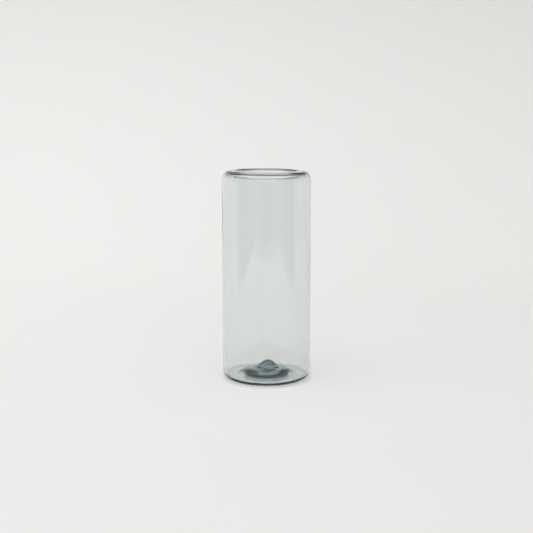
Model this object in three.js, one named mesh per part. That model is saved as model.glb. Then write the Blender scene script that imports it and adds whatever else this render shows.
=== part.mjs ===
// Mouth-blown glass cylinder vase for cut flowers. Millimetres, +Z up.
// The origin is the centre of the flat ring that the vase stands on.
//
// A blown vase is made from separate gathers of hot glass that the maker joins while
// they are soft. Each gather is one named mesh: the blown body, the solid boss in the
// middle of its floor, the round tip on that boss, and the wad of glass that the
// pontil rod leaves in the hollow under the floor. They meet on flat seats.
import * as THREE from 'three';

// Body: driving dimensions
const HEIGHT = 200;
const OUTER_RADIUS = 42.2;
const WALL = 1.6;
const SHOULDER_RADIUS = 8; // outside of the shoulder, where the wall turns in
const LIP_RADIUS = 6; // outside of the lip, where it turns down into the mouth
const LIP_ANGLE = 75; // degrees that the lip turns past the highest point
const LIP_THICKNESS = 2.2; // at the very edge, which the wall thickens to
const HEEL_RADIUS = 7.2; // outside, between the foot and the wall
const INNER_HEEL_RADIUS = 4;
const FLOOR = 3; // height of the inner floor above the standing plane
const FOOT_RING_WIDTH = 3; // flat ring that touches the table
const HOLLOW_DEPTH = 0.9; // hollow under the floor, at its flat middle
const HOLLOW_FLAT_RADIUS = 14; // flat middle of the hollow

// Boss on the inner floor: driving dimensions
const BOSS_RADIUS = 22; // at its widest
const BOSS_FOOT_RADIUS = 20.5; // where it meets the floor
const BOSS_BULGE_HEIGHT = 3.4; // from the floor to its widest level
const BOSS_HEIGHT = 7.5;

// Tip on the boss: driving dimensions
const TIP_RADIUS = 11;
const TIP_HEIGHT = 6;
const TIP_SEAT_MARGIN = 0.4; // flat seat on the boss, wider than the tip all round

// Pontil wad under the floor: driving dimensions
const WAD_RADIUS = 12;
const WAD_THICKNESS = 0.6;
const WAD_EDGE_RADIUS = 0.3; // rounded lower edge

// Faces round each turned solid
const BODY_SEGMENTS = 64;
const GATHER_SEGMENTS = 48;

// Points along a stretch of an ellipse, from one angle to another in degrees.
// Angle 0 points away from the axis and 90 points up.
function arc(centre, radii, from, to, steps) {
  const start = THREE.MathUtils.degToRad(from);
  const end = THREE.MathUtils.degToRad(to);
  const curve = new THREE.EllipseCurve(centre.x, centre.y, radii.x, radii.y, start, end, to < from);
  return curve.getPoints(steps);
}

function roundArc(centreRadius, centreHeight, radius, from, to, steps) {
  const centre = new THREE.Vector2(centreRadius, centreHeight);
  return arc(centre, new THREE.Vector2(radius, radius), from, to, steps);
}

// Turns a profile of (radius, height) points about the vertical axis. The profile runs
// from the axis, out and up over the outside, and back to the axis.
function turnedMesh(name, profile, segments, material) {
  const geometry = new THREE.LatheGeometry(profile, segments);
  geometry.rotateX(Math.PI / 2);
  const mesh = new THREE.Mesh(geometry, material);
  mesh.name = name;
  return mesh;
}

function glass(name, color, roughness) {
  return new THREE.MeshStandardMaterial({ name, color, roughness, metalness: 0 });
}

// Outside of the top, from the wall over the shoulder to the edge of the lip. Each
// entry holds a point and the direction that faces out of the glass there.
function rimOutside() {
  const crestRadius = OUTER_RADIUS - SHOULDER_RADIUS;
  const shoulder = rimStretch(crestRadius, HEIGHT - SHOULDER_RADIUS, SHOULDER_RADIUS, 0, 90, 7);
  const lip = rimStretch(crestRadius, HEIGHT - LIP_RADIUS, LIP_RADIUS, 90, 90 + LIP_ANGLE, 6);
  return shoulder.concat(lip.slice(1));
}

function rimStretch(centreRadius, centreHeight, radius, from, to, steps) {
  const points = roundArc(centreRadius, centreHeight, radius, from, to, steps);
  const centre = new THREE.Vector2(centreRadius, centreHeight);
  return points.map((point) => ({ point, outward: point.clone().sub(centre).normalize() }));
}

// Inside of the top: the outside moved in by a wall that thickens smoothly to the lip.
function rimInside(outside) {
  const lengths = outside.map(() => 0);
  for (let i = 1; i < outside.length; i += 1) {
    lengths[i] = lengths[i - 1] + outside[i].point.distanceTo(outside[i - 1].point);
  }
  const total = lengths[lengths.length - 1];
  return outside.map(({ point, outward }, i) => {
    const share = THREE.MathUtils.smoothstep(lengths[i] / total, 0, 1);
    const thickness = THREE.MathUtils.lerp(WALL, LIP_THICKNESS, share);
    return point.clone().addScaledVector(outward, -thickness);
  });
}

// Half round that closes the lip between its outside and inside edges.
function lipEdge(outside, inside) {
  const middle = outside.clone().add(inside).multiplyScalar(0.5);
  const from = 90 + LIP_ANGLE;
  return roundArc(middle.x, middle.y, LIP_THICKNESS / 2, from, from + 180, 6).slice(1, -1);
}

function vaseBody(material) {
  const footOuter = OUTER_RADIUS - HEEL_RADIUS;
  const footInner = footOuter - FOOT_RING_WIDTH;
  const innerHeelCentre = OUTER_RADIUS - WALL - INNER_HEEL_RADIUS;
  const hollow = new THREE.CubicBezierCurve(
    new THREE.Vector2(HOLLOW_FLAT_RADIUS, HOLLOW_DEPTH),
    new THREE.Vector2((HOLLOW_FLAT_RADIUS + footInner) / 2, HOLLOW_DEPTH),
    new THREE.Vector2((HOLLOW_FLAT_RADIUS + footInner) / 2, 0),
    new THREE.Vector2(footInner, 0),
  );
  const outside = rimOutside();
  const inside = rimInside(outside);
  const last = outside.length - 1;
  const profile = [
    new THREE.Vector2(0, HOLLOW_DEPTH),
    ...hollow.getPoints(5),
    ...roundArc(footOuter, HEEL_RADIUS, HEEL_RADIUS, -90, 0, 6),
    ...outside.map(({ point }) => point),
    ...lipEdge(outside[last].point, inside[last]),
    ...inside.reverse(),
    ...roundArc(innerHeelCentre, FLOOR + INNER_HEEL_RADIUS, INNER_HEEL_RADIUS, 0, -90, 5),
    new THREE.Vector2(0, FLOOR),
  ];
  return turnedMesh('vase_body', profile, BODY_SEGMENTS, material);
}

// Solid bun of glass on the inner floor, with a flat seat on top for the tip.
function baseBoss(material) {
  const widest = FLOOR + BOSS_BULGE_HEIGHT;
  const top = FLOOR + BOSS_HEIGHT;
  const seatRadius = TIP_RADIUS + TIP_SEAT_MARGIN;
  const lower = arc(
    new THREE.Vector2(BOSS_FOOT_RADIUS, widest),
    new THREE.Vector2(BOSS_RADIUS - BOSS_FOOT_RADIUS, BOSS_BULGE_HEIGHT),
    -90, 0, 4,
  );
  const upper = arc(
    new THREE.Vector2(seatRadius, widest),
    new THREE.Vector2(BOSS_RADIUS - seatRadius, top - widest),
    0, 90, 7,
  );
  const profile = [
    new THREE.Vector2(0, FLOOR),
    ...lower,
    ...upper.slice(1),
    new THREE.Vector2(0, top),
  ];
  return turnedMesh('base_boss', profile, GATHER_SEGMENTS, material);
}

// Round tip on the boss.
function bossTip(material) {
  const seat = FLOOR + BOSS_HEIGHT;
  const dome = arc(
    new THREE.Vector2(0, seat),
    new THREE.Vector2(TIP_RADIUS, TIP_HEIGHT),
    0, 90, 8,
  );
  const profile = [new THREE.Vector2(0, seat), ...dome];
  return turnedMesh('boss_tip', profile, GATHER_SEGMENTS, material);
}

// Low disc of glass on the flat middle of the hollow, clear of the table.
function pontilWad(material) {
  const top = HOLLOW_DEPTH;
  const bottom = top - WAD_THICKNESS;
  const profile = [
    new THREE.Vector2(0, bottom),
    ...roundArc(WAD_RADIUS - WAD_EDGE_RADIUS, bottom + WAD_EDGE_RADIUS, WAD_EDGE_RADIUS, -90, 0, 3),
    new THREE.Vector2(WAD_RADIUS, top),
    new THREE.Vector2(0, top),
  ];
  return turnedMesh('pontil_wad', profile, GATHER_SEGMENTS, material);
}

const group = new THREE.Group();
group.add(vaseBody(glass('smoke_glass', 0xd3d8d7, 0.02)));
group.add(baseBoss(glass('thick_smoke_glass', 0x92a0a3, 0.03)));
group.add(bossTip(glass('thick_smoke_glass_tip', 0x8a989b, 0.03)));
group.add(pontilWad(glass('broken_smoke_glass', 0x9aa6a8, 0.35)));

export default group;
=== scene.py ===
"""Mouth-blown glass cylinder vase: the visible model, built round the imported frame.

The wall, the boss on the floor and its tip are one continuous skin of glass, as they
are on the real vase, where the gathers were fused while hot. The broken pontil wad in
the hollow foot is a piece of its own.
"""
import math

import bmesh
import bpy
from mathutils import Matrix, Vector, noise


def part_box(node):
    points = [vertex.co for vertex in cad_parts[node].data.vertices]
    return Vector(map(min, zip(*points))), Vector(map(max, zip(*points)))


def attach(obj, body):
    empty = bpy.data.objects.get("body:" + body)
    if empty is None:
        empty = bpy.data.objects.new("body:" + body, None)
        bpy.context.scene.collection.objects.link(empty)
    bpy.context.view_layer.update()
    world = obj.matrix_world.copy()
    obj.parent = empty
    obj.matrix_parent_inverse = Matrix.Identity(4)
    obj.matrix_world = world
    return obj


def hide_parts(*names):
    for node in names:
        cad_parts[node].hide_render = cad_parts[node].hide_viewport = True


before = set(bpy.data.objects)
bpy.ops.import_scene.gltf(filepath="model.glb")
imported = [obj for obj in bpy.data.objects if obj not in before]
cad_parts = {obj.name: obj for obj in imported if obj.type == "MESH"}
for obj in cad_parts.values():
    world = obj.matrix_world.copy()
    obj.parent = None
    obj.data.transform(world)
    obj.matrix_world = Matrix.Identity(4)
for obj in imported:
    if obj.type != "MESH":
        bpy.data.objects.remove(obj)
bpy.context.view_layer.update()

MM = 0.001

# Sizes taken from the frame
body_low, body_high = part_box("vase_body")
boss_low, boss_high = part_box("base_boss")
tip_low, tip_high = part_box("boss_tip")
wad_low, wad_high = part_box("pontil_wad")

RADIUS = (body_high.x - body_low.x) / 2
HEIGHT = body_high.z
FLOOR = boss_low.z
BOSS_RADIUS = (boss_high.x - boss_low.x) / 2
BOSS_TOP = boss_high.z
DOME_RISE = tip_high.z - boss_high.z
HOLLOW_DEPTH = wad_high.z
WAD_RADIUS = (wad_high.x - wad_low.x) / 2

# Sizes that a box can't give, the same as the CAD model's
WALL = 1.6 * MM
SHOULDER_RADIUS = 8 * MM
LIP_RADIUS = 6 * MM
LIP_ANGLE = 75
LIP_THICKNESS = 2.2 * MM
HEEL_RADIUS = 7.2 * MM
INNER_HEEL_RADIUS = 4 * MM
FOOT_RING_WIDTH = 3 * MM
HOLLOW_FLAT_RADIUS = 14 * MM
BOSS_FOOT_RADIUS = 20.5 * MM
BOSS_BULGE_HEIGHT = 3.4 * MM

# How the boss and its tip melt into one another
CROWN_POWER = 2.4
DOME_REACH = 14 * MM
DOME_SHIFT = 1.7 * MM  # to the right of the axis
DOME_ROOT = 4 * MM  # the shift grows to its full amount over this height

# The pontil wad's own edge, and the gap that keeps it clear of the glass above
WAD_EDGE = 0.25 * MM
WAD_GAP = 0.05 * MM

# How far the hand-blown skin strays from a true turned form
SWAY = 0.10 * MM  # slow unevenness of the outside
DRIFT = 0.14 * MM  # slow unevenness of the wall's thickness
CORD = 0.022 * MM  # upright cords in the inner face
RIM_TILT = 0.5 * MM
OFF_CENTRE = 0.12 * MM  # the wall is thicker on one side by twice this
CALM_HEIGHT = 3 * MM  # the foot stays true below this
CALM_REACH = 20 * MM  # and the skin is fully uneven this much higher
RIM_REACH = 30 * MM  # the tilt begins this far below the rim
WAD_ROUGHNESS = 0.12 * MM
WAD_RAGGEDNESS = 0.03  # share of the radius

# Each unevenness: waves round the wall, waves per metre of height, start in the noise
SWAY_WAVE = (0.9, 14, (3.1, 0.0))
DRIFT_WAVE = (1.3, 18, (0.0, 9.0))
CORD_WAVE = (6.5, 6, (0.0, 7.7))
FINE_CORD_WAVE = (15, 9, (5.0, 0.0))
FINE_CORD_SHARE = 0.6
CHIP_WAVE = 420  # per metre
FINE_CHIP_WAVE = 1100
FINE_CHIP_SHARE = 0.5
RAGGED_WAVE = 2.4

# Fine relief and streaks in the materials. Each pattern's scale is per metre.
CORD_PATTERN = 210
PEEL_PATTERN = 95
STREAK_PATTERN = 62
UPRIGHT = (1, 1, 0.07)  # draws cords and streaks out up the wall
CHIP_PATTERN = 900
GRAIN_PATTERN = 1500
TOOTH_PATTERN = 700
CORD_BUMP = 0.012 * MM
PEEL_BUMP = 0.02 * MM  # soft dimpling of the fire-polished skin
CHIP_BUMP = 0.1 * MM
TOOTH_BUMP = 0.1 * MM

# Mesh density
TURNS = 240
STEP = 0.8 * MM
WALL_STEP = 3.2 * MM  # up the straight wall
CROWN_STEPS = 60
SHORTEST_STEP = 0.02 * MM
WALL_COLUMNS = 96
BEND_ROWS = 16
DARK_ROOM_COLUMNS = 48

# Glass
IOR = 1.5
ABSORPTION = (52.0, 39.0, 37.0)  # per metre, in red, green and blue
STREAK_TINT = (0.985, 0.985, 0.975)
BREAK_TINTS = (0.86, 0.9, 0.9), (0.98, 1, 1)
BREAK_FROST = (0.25, 0.5)  # roughness, from least to most

# Set
CAMERA_DISTANCE = 23.0 * RADIUS
CAMERA_HEIGHT = 6.45 * RADIUS
CAMERA_PITCH = 9.6
LENS = 69.4
PAPER = (0.9, 0.9, 0.885)
# Painted shade: the card's colour darkens towards the right, standing in for the light falling off there
PAPER_PAINTED_SHADE = (0.85, 0.85, 0.835)
PAINTED_SHADE_REACH = (-0.3, 0.5)  # where the painted shade starts and ends, in x
SHEET_LEFT = -0.52
SHEET_RIGHT = 0.48
SHEET_FRONT = -0.765
SHEET_STEP = -0.12
TABLE_GAP = 0.3 * MM  # keeps the foot ring and the sheet apart
WALL_SIDE = 1.15
WALL_BACK = 1.05
WALL_HEIGHT = 0.6
WALL_BEND = 0.55
WALL_SQUARENESS = 4
# The dark sheet is painted shade: its dark tone stands in for the unlit room behind and above the
# backdrop
DARK_ROOM_PAINTED_SHADE = 0.07
DARK_ROOM_REACH = (1.7, 1.5, 2.1)  # to the sides, to the back and up
DARK_ROOM_SPAN = (10, 170)  # degrees, from the right round the back to the left
ROOM = 0.3

# Name, place, aim, size, radiance
LIGHTS = (
    ("overhead", (0.0, -0.2, 2.2), (0.0, -0.2, 0.0), (2.6, 2.6), 1.62),
    ("window", (-1.5, -0.4, 1.7), (0.0, 0.0, 0.1), (1.4, 1.4), 0.68),
    ("window_front", (-0.8, -1.2, 1.9), (0.0, 0.0, 0.1), (1.4, 1.4), 0.45),
    ("front", (0.2, -2.6, 1.7), (0.0, 0.0, 0.1), (2.4, 1.4), 0.9),
)


def smooth(t):
    t = min(max(t, 0.0), 1.0)
    return t * t * (3 - 2 * t)


def bell(r, reach):
    """1 at the axis, falling smoothly to 0 at the reach."""
    return math.cos(min(r / reach, 1.0) * math.pi / 2) ** 2


def arc(centre_r, centre_z, radius_r, radius_z, start, end):
    """Points along a stretch of an ellipse in the (radius, height) plane, angles in degrees."""
    span = math.radians(abs(end - start))
    steps = max(4, round(span * max(radius_r, radius_z) / STEP * 2))
    points = []
    for i in range(steps + 1):
        angle = math.radians(start + (end - start) * i / steps)
        points.append((centre_r + radius_r * math.cos(angle), centre_z + radius_z * math.sin(angle)))
    return points


def line(start, end, step=STEP):
    steps = max(1, round(math.dist(start, end) / step))
    return [
        (start[0] + (end[0] - start[0]) * i / steps, start[1] + (end[1] - start[1]) * i / steps)
        for i in range(steps + 1)
    ]


def rim_outside():
    """Outside of the shoulder and lip: (radius, height, angle that faces out)."""
    crest = RADIUS - SHOULDER_RADIUS
    points = []
    for start, end, radius in ((0, 90, SHOULDER_RADIUS), (90, 90 + LIP_ANGLE, LIP_RADIUS)):
        steps = round(math.radians(end - start) * radius / STEP * 2)
        for i in range(steps + 1):
            angle = math.radians(start + (end - start) * i / steps)
            height = HEIGHT - radius + radius * math.sin(angle)
            points.append((crest + radius * math.cos(angle), height, angle))
    return points


def rim_inside(outside):
    """The outside moved in by a wall that thickens smoothly to the lip."""
    lengths = [0.0]
    for a, b in zip(outside, outside[1:]):
        lengths.append(lengths[-1] + math.dist(a[:2], b[:2]))
    points = []
    for (r, z, angle), length in zip(outside, lengths):
        thickness = WALL + (LIP_THICKNESS - WALL) * smooth(length / lengths[-1])
        points.append((r - thickness * math.cos(angle), z - thickness * math.sin(angle)))
    return points


def lip_edge(outside, inside):
    centre_r = (outside[0] + inside[0]) / 2
    centre_z = (outside[1] + inside[1]) / 2
    half = LIP_THICKNESS / 2
    return arc(centre_r, centre_z, half, half, 90 + LIP_ANGLE, 270 + LIP_ANGLE)[1:-1]


def underside():
    """From the axis over the flat of the hollow and down to the foot ring."""
    foot_outer = RADIUS - HEEL_RADIUS
    foot_inner = foot_outer - FOOT_RING_WIDTH
    points = line((0.0, HOLLOW_DEPTH), (HOLLOW_FLAT_RADIUS, HOLLOW_DEPTH))
    steps = round((foot_inner - HOLLOW_FLAT_RADIUS) / STEP)
    for i in range(1, steps + 1):
        t = i / steps
        r = HOLLOW_FLAT_RADIUS + (foot_inner - HOLLOW_FLAT_RADIUS) * t
        points.append((r, HOLLOW_DEPTH * (1 - smooth(t))))
    points += line((foot_inner, 0.0), (foot_outer, 0.0))
    return points


def floor_and_boss():
    """From the inside of the wall over the heel, the floor, the boss and its tip to the axis."""
    heel = RADIUS - WALL - INNER_HEEL_RADIUS
    widest = FLOOR + BOSS_BULGE_HEIGHT
    points = arc(heel, FLOOR + INNER_HEEL_RADIUS, INNER_HEEL_RADIUS, INNER_HEEL_RADIUS, 0, -90)
    points += line((heel, FLOOR), (BOSS_FOOT_RADIUS, FLOOR))
    points += arc(BOSS_FOOT_RADIUS, widest, BOSS_RADIUS - BOSS_FOOT_RADIUS, BOSS_BULGE_HEIGHT, -90, 0)
    for i in range(1, CROWN_STEPS):
        r = BOSS_RADIUS * math.cos(math.radians(90 * i / CROWN_STEPS))
        crown = math.sqrt(1 - (r / BOSS_RADIUS) ** CROWN_POWER)
        points.append((r, widest + (BOSS_TOP - widest) * crown + DOME_RISE * bell(r, DOME_REACH)))
    points.append((0.0, BOSS_TOP + DOME_RISE))
    return points


def glass_profile():
    """Rings of (radius, height, inner), where inner is True on the face that holds the water."""
    outside = rim_outside()
    inside = rim_inside(outside)
    outer = underside()
    outer += arc(RADIUS - HEEL_RADIUS, HEEL_RADIUS, HEEL_RADIUS, HEEL_RADIUS, -90, 0)
    outer += line((RADIUS, HEEL_RADIUS), (RADIUS, HEIGHT - SHOULDER_RADIUS), WALL_STEP)
    outer += [p[:2] for p in outside]
    inner = lip_edge(outside[-1], inside[-1])
    inner += inside[::-1]
    bore = RADIUS - WALL
    inner += line((bore, HEIGHT - SHOULDER_RADIUS), (bore, FLOOR + INNER_HEEL_RADIUS), WALL_STEP)
    inner += floor_and_boss()
    rings = [(*outer[0], False)]
    for points, is_inner in ((outer, False), (inner, True)):
        for p in points:
            if math.dist(p, rings[-1][:2]) > SHORTEST_STEP:
                rings.append((*p, is_inner))
    return rings


def wad_profile():
    """Rings of the wad, with its worn lower edge, in the same form as glass_profile's."""
    corner = WAD_RADIUS - WAD_EDGE
    points = line((0.0, wad_low.z), (corner, wad_low.z))
    points += arc(corner, wad_low.z + WAD_EDGE, WAD_EDGE, WAD_EDGE, -90, 0)[1:]
    points += line((WAD_RADIUS, wad_high.z - WAD_GAP), (0.0, wad_high.z - WAD_GAP))
    return [(*p, False) for p in points]


def wave(angle, z, turns, rise, start):
    """Noise that closes on itself round the vase, between about -1 and 1."""
    around = Vector((math.cos(angle), math.sin(angle), 0.0))
    return noise.noise(around * turns + Vector((*start, z * rise)))


def blown(r, z, angle, inner):
    """Where a point of the true form lies on the hand-blown one."""
    x, y = r * math.cos(angle), r * math.sin(angle)
    calm = smooth((z - CALM_HEIGHT) / CALM_REACH)
    near_rim = smooth((z - HEIGHT + RIM_REACH) / RIM_REACH)
    move = SWAY * wave(angle, z, *SWAY_WAVE) * calm
    if inner:
        wall_share = smooth((r - BOSS_RADIUS) / (RADIUS - BOSS_RADIUS))
        cords = wave(angle, z, *CORD_WAVE) + FINE_CORD_SHARE * wave(angle, z, *FINE_CORD_WAVE)
        drift = wave(angle, z, *DRIFT_WAVE)
        move += (DRIFT * drift + CORD * cords * (1 - near_rim)) * calm * wall_share
        x -= OFF_CENTRE * wall_share * (1 - near_rim)
        x += DOME_SHIFT * bell(r, BOSS_RADIUS) * smooth((z - FLOOR) / DOME_ROOT)
    if r > 0:
        x += move * x / r
        y += move * y / r
    return x, y, z - RIM_TILT * near_rim * (1 + x / RADIUS) / 2


def broken(r, z, angle, inner):
    """The wad's lower face is a rough break."""
    x, y = r * math.cos(angle), r * math.sin(angle)
    chips = noise.noise(Vector((x, y, 0.0)) * CHIP_WAVE)
    chips += FINE_CHIP_SHARE * noise.noise(Vector((x, y, 0.01)) * FINE_CHIP_WAVE)
    depth = (wad_high.z - z) / (wad_high.z - wad_low.z)
    ragged = noise.noise(Vector((math.cos(angle), math.sin(angle), 2.0)) * RAGGED_WAVE)
    edge = 1 + WAD_RAGGEDNESS * ragged * depth
    return x * edge, y * edge, z + WAD_ROUGHNESS * abs(chips) * smooth(depth)


def turned(name, rings, place):
    """Turns rings that start and end on the axis into one closed smooth mesh."""
    form = bmesh.new()
    loops = []
    for r, z, inner in rings:
        if r < 1e-7:
            loops.append([form.verts.new(place(0.0, z, 0.0, inner))])
            continue
        turns = [2 * math.pi * k / TURNS for k in range(TURNS)]
        loops.append([form.verts.new(place(r, z, angle, inner)) for angle in turns])
    for low, high in zip(loops, loops[1:]):
        for k in range(TURNS):
            n = (k + 1) % TURNS
            if len(low) == 1:
                form.faces.new((low[0], high[n], high[k]))
            elif len(high) == 1:
                form.faces.new((low[k], low[n], high[0]))
            else:
                form.faces.new((low[k], low[n], high[n], high[k]))
    return finished(name, form)


def finished(name, form):
    for face in form.faces:
        face.smooth = True
    mesh = bpy.data.meshes.new(name)
    form.to_mesh(mesh)
    form.free()
    made = bpy.data.objects.new(name, mesh)
    bpy.context.scene.collection.objects.link(made)
    return made


def add_node(tree, kind, settings, sources=()):
    """A node with its inputs set, linked from (socket, input name) pairs."""
    node = tree.nodes.new(kind)
    for key, value in settings.items():
        if key in node.inputs:
            node.inputs[key].default_value = value
        else:
            setattr(node, key, value)
    for socket, target in sources:
        tree.links.new(socket, node.inputs[target])
    return node


def smoke_glass_material():
    """Clear smoke glass with upright cords, faint streaks and a fire-polished skin."""
    material = bpy.data.materials.new("smoke_glass")
    material.use_nodes = True
    tree = material.node_tree
    shader = tree.nodes["Principled BSDF"]
    shader.inputs["Roughness"].default_value = 0.0
    shader.inputs["IOR"].default_value = IOR
    shader.inputs["Transmission Weight"].default_value = 1.0

    place = add_node(tree, "ShaderNodeTexCoord", {}).outputs["Object"]
    upright = add_node(tree, "ShaderNodeMapping", {"Scale": UPRIGHT}, [(place, "Vector")])
    cords = add_node(
        tree, "ShaderNodeTexNoise", {"Scale": CORD_PATTERN, "Detail": 2, "Roughness": 0.45},
        [(upright.outputs["Vector"], "Vector")],
    )
    orange_peel = add_node(
        tree, "ShaderNodeTexNoise", {"Scale": PEEL_PATTERN, "Detail": 1}, [(place, "Vector")],
    )
    cord_bump = add_node(
        tree, "ShaderNodeBump", {"Strength": 0.5, "Distance": CORD_BUMP},
        [(cords.outputs["Fac"], "Height")],
    )
    bump = add_node(
        tree, "ShaderNodeBump", {"Strength": 0.5, "Distance": PEEL_BUMP},
        [(orange_peel.outputs["Fac"], "Height"), (cord_bump.outputs["Normal"], "Normal")],
    )
    tree.links.new(bump.outputs["Normal"], shader.inputs["Normal"])

    streaks = add_node(
        tree, "ShaderNodeTexNoise", {"Scale": STREAK_PATTERN, "Detail": 3, "Roughness": 0.6},
        [(upright.outputs["Vector"], "Vector")],
    )
    tint = add_node(tree, "ShaderNodeValToRGB", {}, [(streaks.outputs["Fac"], "Fac")])
    tint.color_ramp.elements[0].position = 0.35
    tint.color_ramp.elements[0].color = (*STREAK_TINT, 1)
    tint.color_ramp.elements[1].position = 0.65
    tint.color_ramp.elements[1].color = (1, 1, 1, 1)
    tree.links.new(tint.outputs["Color"], shader.inputs["Base Color"])
    add_absorption(tree)
    return material


def rough_glass_material():
    """Broken glass: the same smoke colour, frosted and chipped."""
    material = bpy.data.materials.new("broken_glass")
    material.use_nodes = True
    tree = material.node_tree
    shader = tree.nodes["Principled BSDF"]
    shader.inputs["IOR"].default_value = IOR
    shader.inputs["Transmission Weight"].default_value = 1.0

    place = add_node(tree, "ShaderNodeTexCoord", {}).outputs["Object"]
    chips = add_node(tree, "ShaderNodeTexVoronoi", {"Scale": CHIP_PATTERN}, [(place, "Vector")])
    grain = add_node(
        tree, "ShaderNodeTexNoise", {"Scale": GRAIN_PATTERN, "Detail": 3}, [(place, "Vector")],
    )
    bump = add_node(
        tree, "ShaderNodeBump", {"Strength": 0.6, "Distance": CHIP_BUMP},
        [(chips.outputs["Distance"], "Height")],
    )
    tree.links.new(bump.outputs["Normal"], shader.inputs["Normal"])
    least, most = BREAK_FROST
    frost = add_node(
        tree, "ShaderNodeMapRange", {"To Min": least, "To Max": most},
        [(grain.outputs["Fac"], "Value")],
    )
    tree.links.new(frost.outputs["Result"], shader.inputs["Roughness"])
    tint = add_node(tree, "ShaderNodeValToRGB", {}, [(grain.outputs["Fac"], "Fac")])
    for element, colour in zip(tint.color_ramp.elements, BREAK_TINTS):
        element.color = (*colour, 1)
    tree.links.new(tint.outputs["Color"], shader.inputs["Base Color"])
    add_absorption(tree)
    return material


def add_absorption(tree):
    """Tints glass by its depth: the deepest channel sets the density, the colour the rest."""
    density = max(ABSORPTION)
    inside = tree.nodes.new("ShaderNodeVolumeAbsorption")
    inside.inputs["Density"].default_value = density
    inside.inputs["Color"].default_value = (*[1 - a / density for a in ABSORPTION], 1)
    tree.links.new(inside.outputs["Volume"], tree.nodes["Material Output"].inputs["Volume"])


def paper_material():
    """Matt card with painted shade, its colour a little darker towards the right, with a fine tooth."""
    material = bpy.data.materials.new("paper")
    material.use_nodes = True
    tree = material.node_tree
    shader = tree.nodes["Principled BSDF"]
    shader.inputs["Roughness"].default_value = 0.9
    shader.inputs["Specular IOR Level"].default_value = 0.1
    place = add_node(tree, "ShaderNodeTexCoord", {}).outputs["Object"]
    across = add_node(tree, "ShaderNodeSeparateXYZ", {}, [(place, "Vector")])
    left, right = PAINTED_SHADE_REACH
    shade = add_node(
        tree, "ShaderNodeMapRange", {"From Min": left, "From Max": right},
        [(across.outputs["X"], "Value")],
    )
    # Painted shade: the ramp runs from the card's own colour to a darker painted shade on the right
    paper_and_painted_shade = add_node(tree, "ShaderNodeValToRGB", {}, [(shade.outputs["Result"], "Fac")])
    paper_and_painted_shade.color_ramp.elements[0].color = (*PAPER, 1)
    paper_and_painted_shade.color_ramp.elements[1].color = (*PAPER_PAINTED_SHADE, 1)
    tree.links.new(paper_and_painted_shade.outputs["Color"], shader.inputs["Base Color"])
    tooth = add_node(
        tree, "ShaderNodeTexNoise", {"Scale": TOOTH_PATTERN, "Detail": 2}, [(place, "Vector")],
    )
    bump = add_node(
        tree, "ShaderNodeBump", {"Strength": 0.15, "Distance": TOOTH_BUMP},
        [(tooth.outputs["Fac"], "Height")],
    )
    tree.links.new(bump.outputs["Normal"], shader.inputs["Normal"])
    return material


def wall_plan(angle):
    """Place of the backdrop's wall in x and y: a half round with a flatter back and sides."""
    power = 2 / WALL_SQUARENESS
    c, s = math.cos(angle), math.sin(angle)
    return math.copysign(WALL_SIDE * abs(c) ** power, c), WALL_BACK * abs(s) ** power


def add_paper():
    """A pale sheet on a table, which turns up into a wall on all sides but the front."""
    form = bmesh.new()
    corners = (
        (SHEET_LEFT, SHEET_FRONT), (SHEET_RIGHT, SHEET_FRONT),
        (SHEET_RIGHT, SHEET_STEP), (SHEET_LEFT, SHEET_STEP),
    )
    form.faces.new([form.verts.new((x, y, -TABLE_GAP)) for x, y in corners])
    rows = []
    for i in range(WALL_COLUMNS + 1):
        x, y = wall_plan(math.pi * i / WALL_COLUMNS)
        reach = math.hypot(x, y)
        row = [(0.0, 0.0), (reach - WALL_BEND, 0.0)]
        for k in range(1, BEND_ROWS + 1):
            a = math.radians(90 * k / BEND_ROWS)
            row.append((reach - WALL_BEND + WALL_BEND * math.sin(a), WALL_BEND - WALL_BEND * math.cos(a)))
        row.append((reach, WALL_HEIGHT))
        rows.append([
            form.verts.new((x / reach * r, SHEET_STEP + y / reach * r, z - TABLE_GAP)) for r, z in row
        ])
    for a, b in zip(rows, rows[1:]):
        for low, high, high_next, low_next in zip(a, a[1:], b[1:], b):
            form.faces.new((low, high, high_next, low_next))
    bmesh.ops.remove_doubles(form, verts=form.verts, dist=1e-6)
    sweep = finished("paper_sweep", form)
    sweep.data.materials.append(paper_material())


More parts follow.
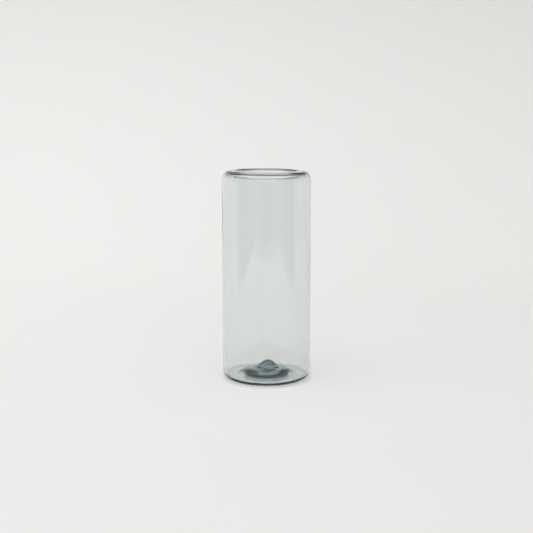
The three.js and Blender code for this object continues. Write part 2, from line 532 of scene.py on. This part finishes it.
def add_dark_room_sheet():
    """Painted shade: a dark sheet round the back of the room, behind and above the backdrop, standing in
    for the unlit room that the glass reflects.
    """
    side, back, top = DARK_ROOM_REACH
    start, end = DARK_ROOM_SPAN
    form = bmesh.new()
    rows = []
    for i in range(DARK_ROOM_COLUMNS + 1):
        a = math.radians(start + (end - start) * i / DARK_ROOM_COLUMNS)
        rows.append([form.verts.new((side * math.cos(a), back * math.sin(a), z)) for z in (0.0, top)])
    for a, b in zip(rows, rows[1:]):
        form.faces.new((a[0], a[1], b[1], b[0]))
    dark_room_sheet = finished("dark_room_sheet", form)
    material = bpy.data.materials.new("dark_room_sheet")
    material.use_nodes = True
    shader = material.node_tree.nodes["Principled BSDF"]
    # Painted shade: the sheet's dark tone stands in for the unlit room
    shader.inputs["Base Color"].default_value = (DARK_ROOM_PAINTED_SHADE, DARK_ROOM_PAINTED_SHADE, DARK_ROOM_PAINTED_SHADE, 1)
    shader.inputs["Roughness"].default_value = 1.0
    dark_room_sheet.data.materials.append(material)


def add_camera():
    data = bpy.data.cameras.new("camera")
    data.lens = LENS
    data.sensor_width = 36
    camera = bpy.data.objects.new("camera", data)
    bpy.context.scene.collection.objects.link(camera)
    camera.location = (0, -CAMERA_DISTANCE, CAMERA_HEIGHT)
    camera.rotation_euler = (math.radians(90 - CAMERA_PITCH), 0, 0)
    bpy.context.scene.camera = camera


def add_light(name, place, aim, size, radiance):
    """A soft window or lamp. Its power is the radiance times pi times its area."""
    data = bpy.data.lights.new(name, "AREA")
    data.shape = "RECTANGLE"
    data.size, data.size_y = size
    data.energy = radiance * math.pi * size[0] * size[1]
    light = bpy.data.objects.new(name, data)
    bpy.context.scene.collection.objects.link(light)
    light.location = place
    light.rotation_mode = "QUATERNION"
    light.rotation_quaternion = (Vector(aim) - Vector(place)).to_track_quat("-Z", "Y")
    light.visible_camera = False


def add_world():
    world = bpy.data.worlds.new("room")
    world.use_nodes = True
    world.node_tree.nodes["Background"].inputs["Color"].default_value = (ROOM, ROOM, ROOM, 1)
    bpy.context.scene.world = world


vase = turned("vase_glass", glass_profile(), blown)
vase.data.materials.append(smoke_glass_material())
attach(vase, "root")
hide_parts("vase_body", "base_boss", "boss_tip")

wad = turned("pontil_scar", wad_profile(), broken)
wad.data.materials.append(rough_glass_material())
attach(wad, "root")
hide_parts("pontil_wad")

add_camera()
add_paper()
add_dark_room_sheet()
add_world()
for light in LIGHTS:
    add_light(*light)
bpy.context.scene.view_settings.view_transform = "Standard"
bpy.context.scene.cycles.blur_glossy = 0.0
